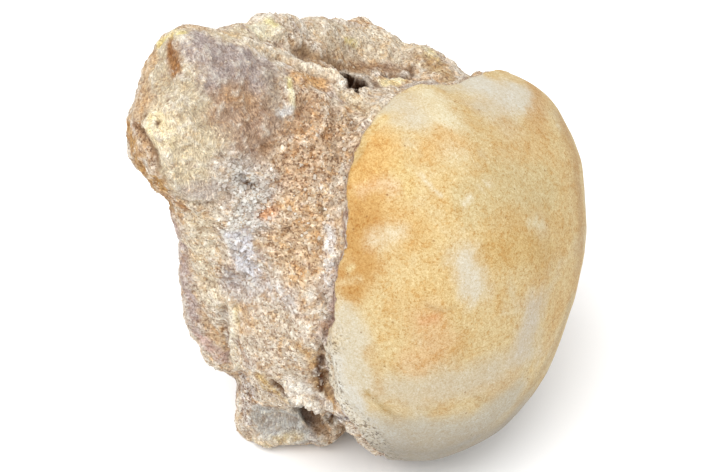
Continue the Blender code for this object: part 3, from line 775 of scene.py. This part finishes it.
for directions in HAIR_DIRECTIONS_DEG:
    hair = hairs(*directions)
    rock_colour = nodes.mottled(rock_colour, {
        "pale hairs": (hair.step(0.60, 0.66) * smoother * 0.8, (1.42, 1.40, 1.34)),
        "dark hairs": (hair.step(0.40, 0.33) * smoother * 0.7, (0.66, 0.59, 0.56)),
    })
rock_colour = nodes.mottled(rock_colour, {
    "brown blots": (middling.step(0.48, 0.38) * 0.4, (0.74, 0.66, 0.58)),
    "brown specks": (fine.step(0.53, 0.68) * 0.4, (0.74, 0.66, 0.60)),
    "pale specks": (fine.step(0.47, 0.32) * 0.5, (1.24, 1.24, 1.22)),
})

# Finish of both, told apart along the rim
SHEEN, ROCK_ROUGHNESS, BALL_SMOOTHER_BY, UNEVEN_ROUGHNESS = 0.25, 0.86, 0.22, 0.10
BUMP_STRENGTH, BUMP_HEIGHT_MM = 0.9, 0.30
rock_height = (fine_gap * -0.45 + coarse_gap * -0.9) * speckled + (rust + middling) * 1.2
ball_height = middling * 0.10 + fine * 0.08 + worn * chips * 0.8
height = rock_height * (1 - ball_mask) + ball_height * ball_mask
bump = {"Strength": BUMP_STRENGTH, "Distance": BUMP_HEIGHT_MM * MM, "Height": height}
colours = {0: ball_mask, 6: rock_colour, 7: ball_colour}
colour = nodes.add("ShaderNodeMix", {"data_type": "RGBA"}, colours, output=2)
shader = stone.node_tree.nodes["Principled BSDF"]
shader.inputs["Specular IOR Level"].default_value = SHEEN
nodes.feed(shader.inputs["Base Color"], colour)
nodes.feed(
    shader.inputs["Roughness"],
    ROCK_ROUGHNESS - BALL_SMOOTHER_BY * ball_mask + UNEVEN_ROUGHNESS * (fine - 0.5),
)
nodes.feed(shader.inputs["Normal"], nodes.add("ShaderNodeBump", {}, bump, output="Normal"))
bone.data.materials.clear()
bone.data.materials.append(stone)
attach(bone, "root")
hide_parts("vertebra")

# Sand grains and calcite crystals
# Loose-looking grains that stand proud of the rock, and grey to white crystals that
# grew in its hollows. Each is half sunk in the rock that holds it.
SLIMMEST, ROUNDEST = 0.4, 1.0


def grain_tree(name, shape, shape_sockets):
    """A tree that strews one kind of grain over the rock, as dense as an attribute says."""
    tree = bpy.data.node_groups.new(name, "GeometryNodeTree")
    for label, kind in (
        ("Rock", "NodeSocketGeometry"), ("Where", "NodeSocketString"), ("Grains per area", "NodeSocketFloat"),
        ("Smallest", "NodeSocketFloat"), ("Largest", "NodeSocketFloat"), ("Seed", "NodeSocketInt"),
        ("Finish", "NodeSocketMaterial"),
    ):
        tree.interface.new_socket(label, in_out="INPUT", socket_type=kind)
    tree.interface.new_socket("Grains", in_out="OUTPUT", socket_type="NodeSocketGeometry")
    made = Nodes(tree)
    given = tree.nodes.new("NodeGroupInput")
    wanted = {socket.name: Socket(made, socket) for socket in given.outputs if socket.name}

    def some_number(low, high, seed):
        sockets = {2: low, 3: high, "Seed": wanted["Seed"] + seed}
        return made.add("FunctionNodeRandomValue", {"data_type": "FLOAT"}, sockets, output=1)

    def some_vector(low, high, seed):
        sockets = {0: (low,) * 3, 1: (high,) * 3, "Seed": wanted["Seed"] + seed}
        return made.add("FunctionNodeRandomValue", {"data_type": "FLOAT_VECTOR"}, sockets)

    dense = made.add("GeometryNodeInputNamedAttribute", {"data_type": "FLOAT"}, {"Name": wanted["Where"]})
    points = made.add(
        "GeometryNodeDistributePointsOnFaces", {},
        {"Mesh": wanted["Rock"], "Density": dense * wanted["Grains per area"], "Seed": wanted["Seed"]},
    )
    points = made.add(
        "GeometryNodeStoreNamedAttribute", {"data_type": "FLOAT", "domain": "POINT"},
        {"Geometry": points, "Name": "tone", "Value": some_number(0.0, 1.0, 1)},
    )
    one = made.add(shape, {}, shape_sockets)
    size = made.add(
        "ShaderNodeVectorMath", {"operation": "SCALE"},
        {
            0: some_vector(SLIMMEST, ROUNDEST, 2),
            "Scale": some_number(wanted["Smallest"], wanted["Largest"], 3),
        },
    )
    placed = made.add(
        "GeometryNodeInstanceOnPoints", {},
        {"Points": points, "Instance": one, "Scale": size, "Rotation": some_vector(0.0, math.tau, 4)},
    )
    real = made.add("GeometryNodeRealizeInstances", {}, {"Geometry": placed})
    coated = made.add("GeometryNodeSetMaterial", {}, {"Geometry": real, "Material": wanted["Finish"]})
    made.feed(tree.nodes.new("NodeGroupOutput").inputs["Grains"], coated)
    return tree


def strew(name, tree, finish, where, per_mm2, smallest, largest, seed):
    """Makes a piece of grains with radii from smallest to largest."""
    piece = bpy.data.objects.new(name, bone.data.copy())
    scene.collection.objects.link(piece)
    modifier = piece.modifiers.new("grains", "NODES")
    modifier.node_group = tree
    values = {
        "Where": where, "Grains per area": per_mm2 / MM**2, "Smallest": smallest * MM,
        "Largest": largest * MM, "Seed": seed, "Finish": finish,
    }
    for item in tree.interface.items_tree:
        if item.name in values:
            modifier[item.identifier] = values[item.name]
    made_plain(piece)
    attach(piece, "root")


def grain_finish(name, lighter, darker, roughness):
    """Rock-coloured grains, some lighter and some darker than the rock round them."""
    finish = bpy.data.materials.new(name)
    finish.use_nodes = True
    made = Nodes(finish.node_tree)
    tone = made.attribute("tone", "Fac")
    tint = made.attribute("rock_tint", "Color")
    tint = made.mix(tone.step(0.50, 0.95) * 0.8, tint, lighter)
    tint = made.mix(tone.step(0.45, 0.05) * 0.7, tint, darker)
    shader = finish.node_tree.nodes["Principled BSDF"]
    made.feed(shader.inputs["Base Color"], tint)
    shader.inputs["Roughness"].default_value = roughness
    return finish


SAND_PER_MM2, SAND_RADII, SAND_SEED, SAND_ROUGHNESS = 1.1, (0.12, 0.30), 3, 0.7
SAND_LIGHT, SAND_DARK = (240, 224, 196), (160, 116, 76)
sand = grain_finish("sand grains", SAND_LIGHT, SAND_DARK, SAND_ROUGHNESS)
sand_tree = grain_tree("sand on the rock", "GeometryNodeMeshIcoSphere", {"Radius": 1.0, "Subdivisions": 1})
strew("sand_grains", sand_tree, sand, "sandy", SAND_PER_MM2, *SAND_RADII, SAND_SEED)

CALCITE_PER_MM2, CALCITE_RADII, CALCITE_SEED, CALCITE_ROUGHNESS = 2.8, (0.12, 0.42), 8, 0.4
CALCITE_LIGHT, CALCITE_DARK = (250, 244, 232), (164, 134, 104)
calcite = grain_finish("calcite crystals", CALCITE_LIGHT, CALCITE_DARK, CALCITE_ROUGHNESS)
calcite_tree = grain_tree("calcite on the rock", "GeometryNodeMeshCube", {"Size": (2.0, 2.0, 2.0)})
strew("calcite_crystals", calcite_tree, calcite, "crystalline", CALCITE_PER_MM2, *CALCITE_RADII, CALCITE_SEED)

# Floor and light
# A white table top that runs out of sight, under a big soft light and a bright tent.
# Sizes are in metres.
FLOOR_HALF_WIDTH = 3.0
TABLETOP_WHITE, TABLETOP_ROUGHNESS = (0.92, 0.92, 0.92, 1), 0.9
TENT_WHITE, TENT_STRENGTH = (1, 1, 1, 1), 0.95
KEY_PLACE, KEY_WIDTH, KEY_WATTS = (-0.02, -0.46, 1.12), 1.1, 15.0

floor_mesh = bmesh.new()
bmesh.ops.create_grid(floor_mesh, x_segments=1, y_segments=1, size=FLOOR_HALF_WIDTH)
floor = bpy.data.objects.new("floor", bpy.data.meshes.new("floor"))
floor_mesh.to_mesh(floor.data)
floor_mesh.free()
scene.collection.objects.link(floor)
tabletop = bpy.data.materials.new("white table top")
tabletop.use_nodes = True
tabletop.node_tree.nodes["Principled BSDF"].inputs["Base Color"].default_value = TABLETOP_WHITE
tabletop.node_tree.nodes["Principled BSDF"].inputs["Roughness"].default_value = TABLETOP_ROUGHNESS
floor.data.materials.append(tabletop)

tent = bpy.data.worlds.new("tent")
tent.use_nodes = True
tent.node_tree.nodes["Background"].inputs["Color"].default_value = TENT_WHITE
tent.node_tree.nodes["Background"].inputs["Strength"].default_value = TENT_STRENGTH
scene.world = tent

key = bpy.data.objects.new("key", bpy.data.lights.new("key", "AREA"))
key.data.shape = "SQUARE"
key.data.size = KEY_WIDTH
key.data.energy = KEY_WATTS
key.location = KEY_PLACE
key.rotation_mode = "QUATERNION"
key.rotation_quaternion = (Vector(KEY_PLACE) - MM * Vector(RIM_MIDDLE)).to_track_quat("Z", "Y")
scene.collection.objects.link(key)
scene.view_settings.view_transform = "Standard"
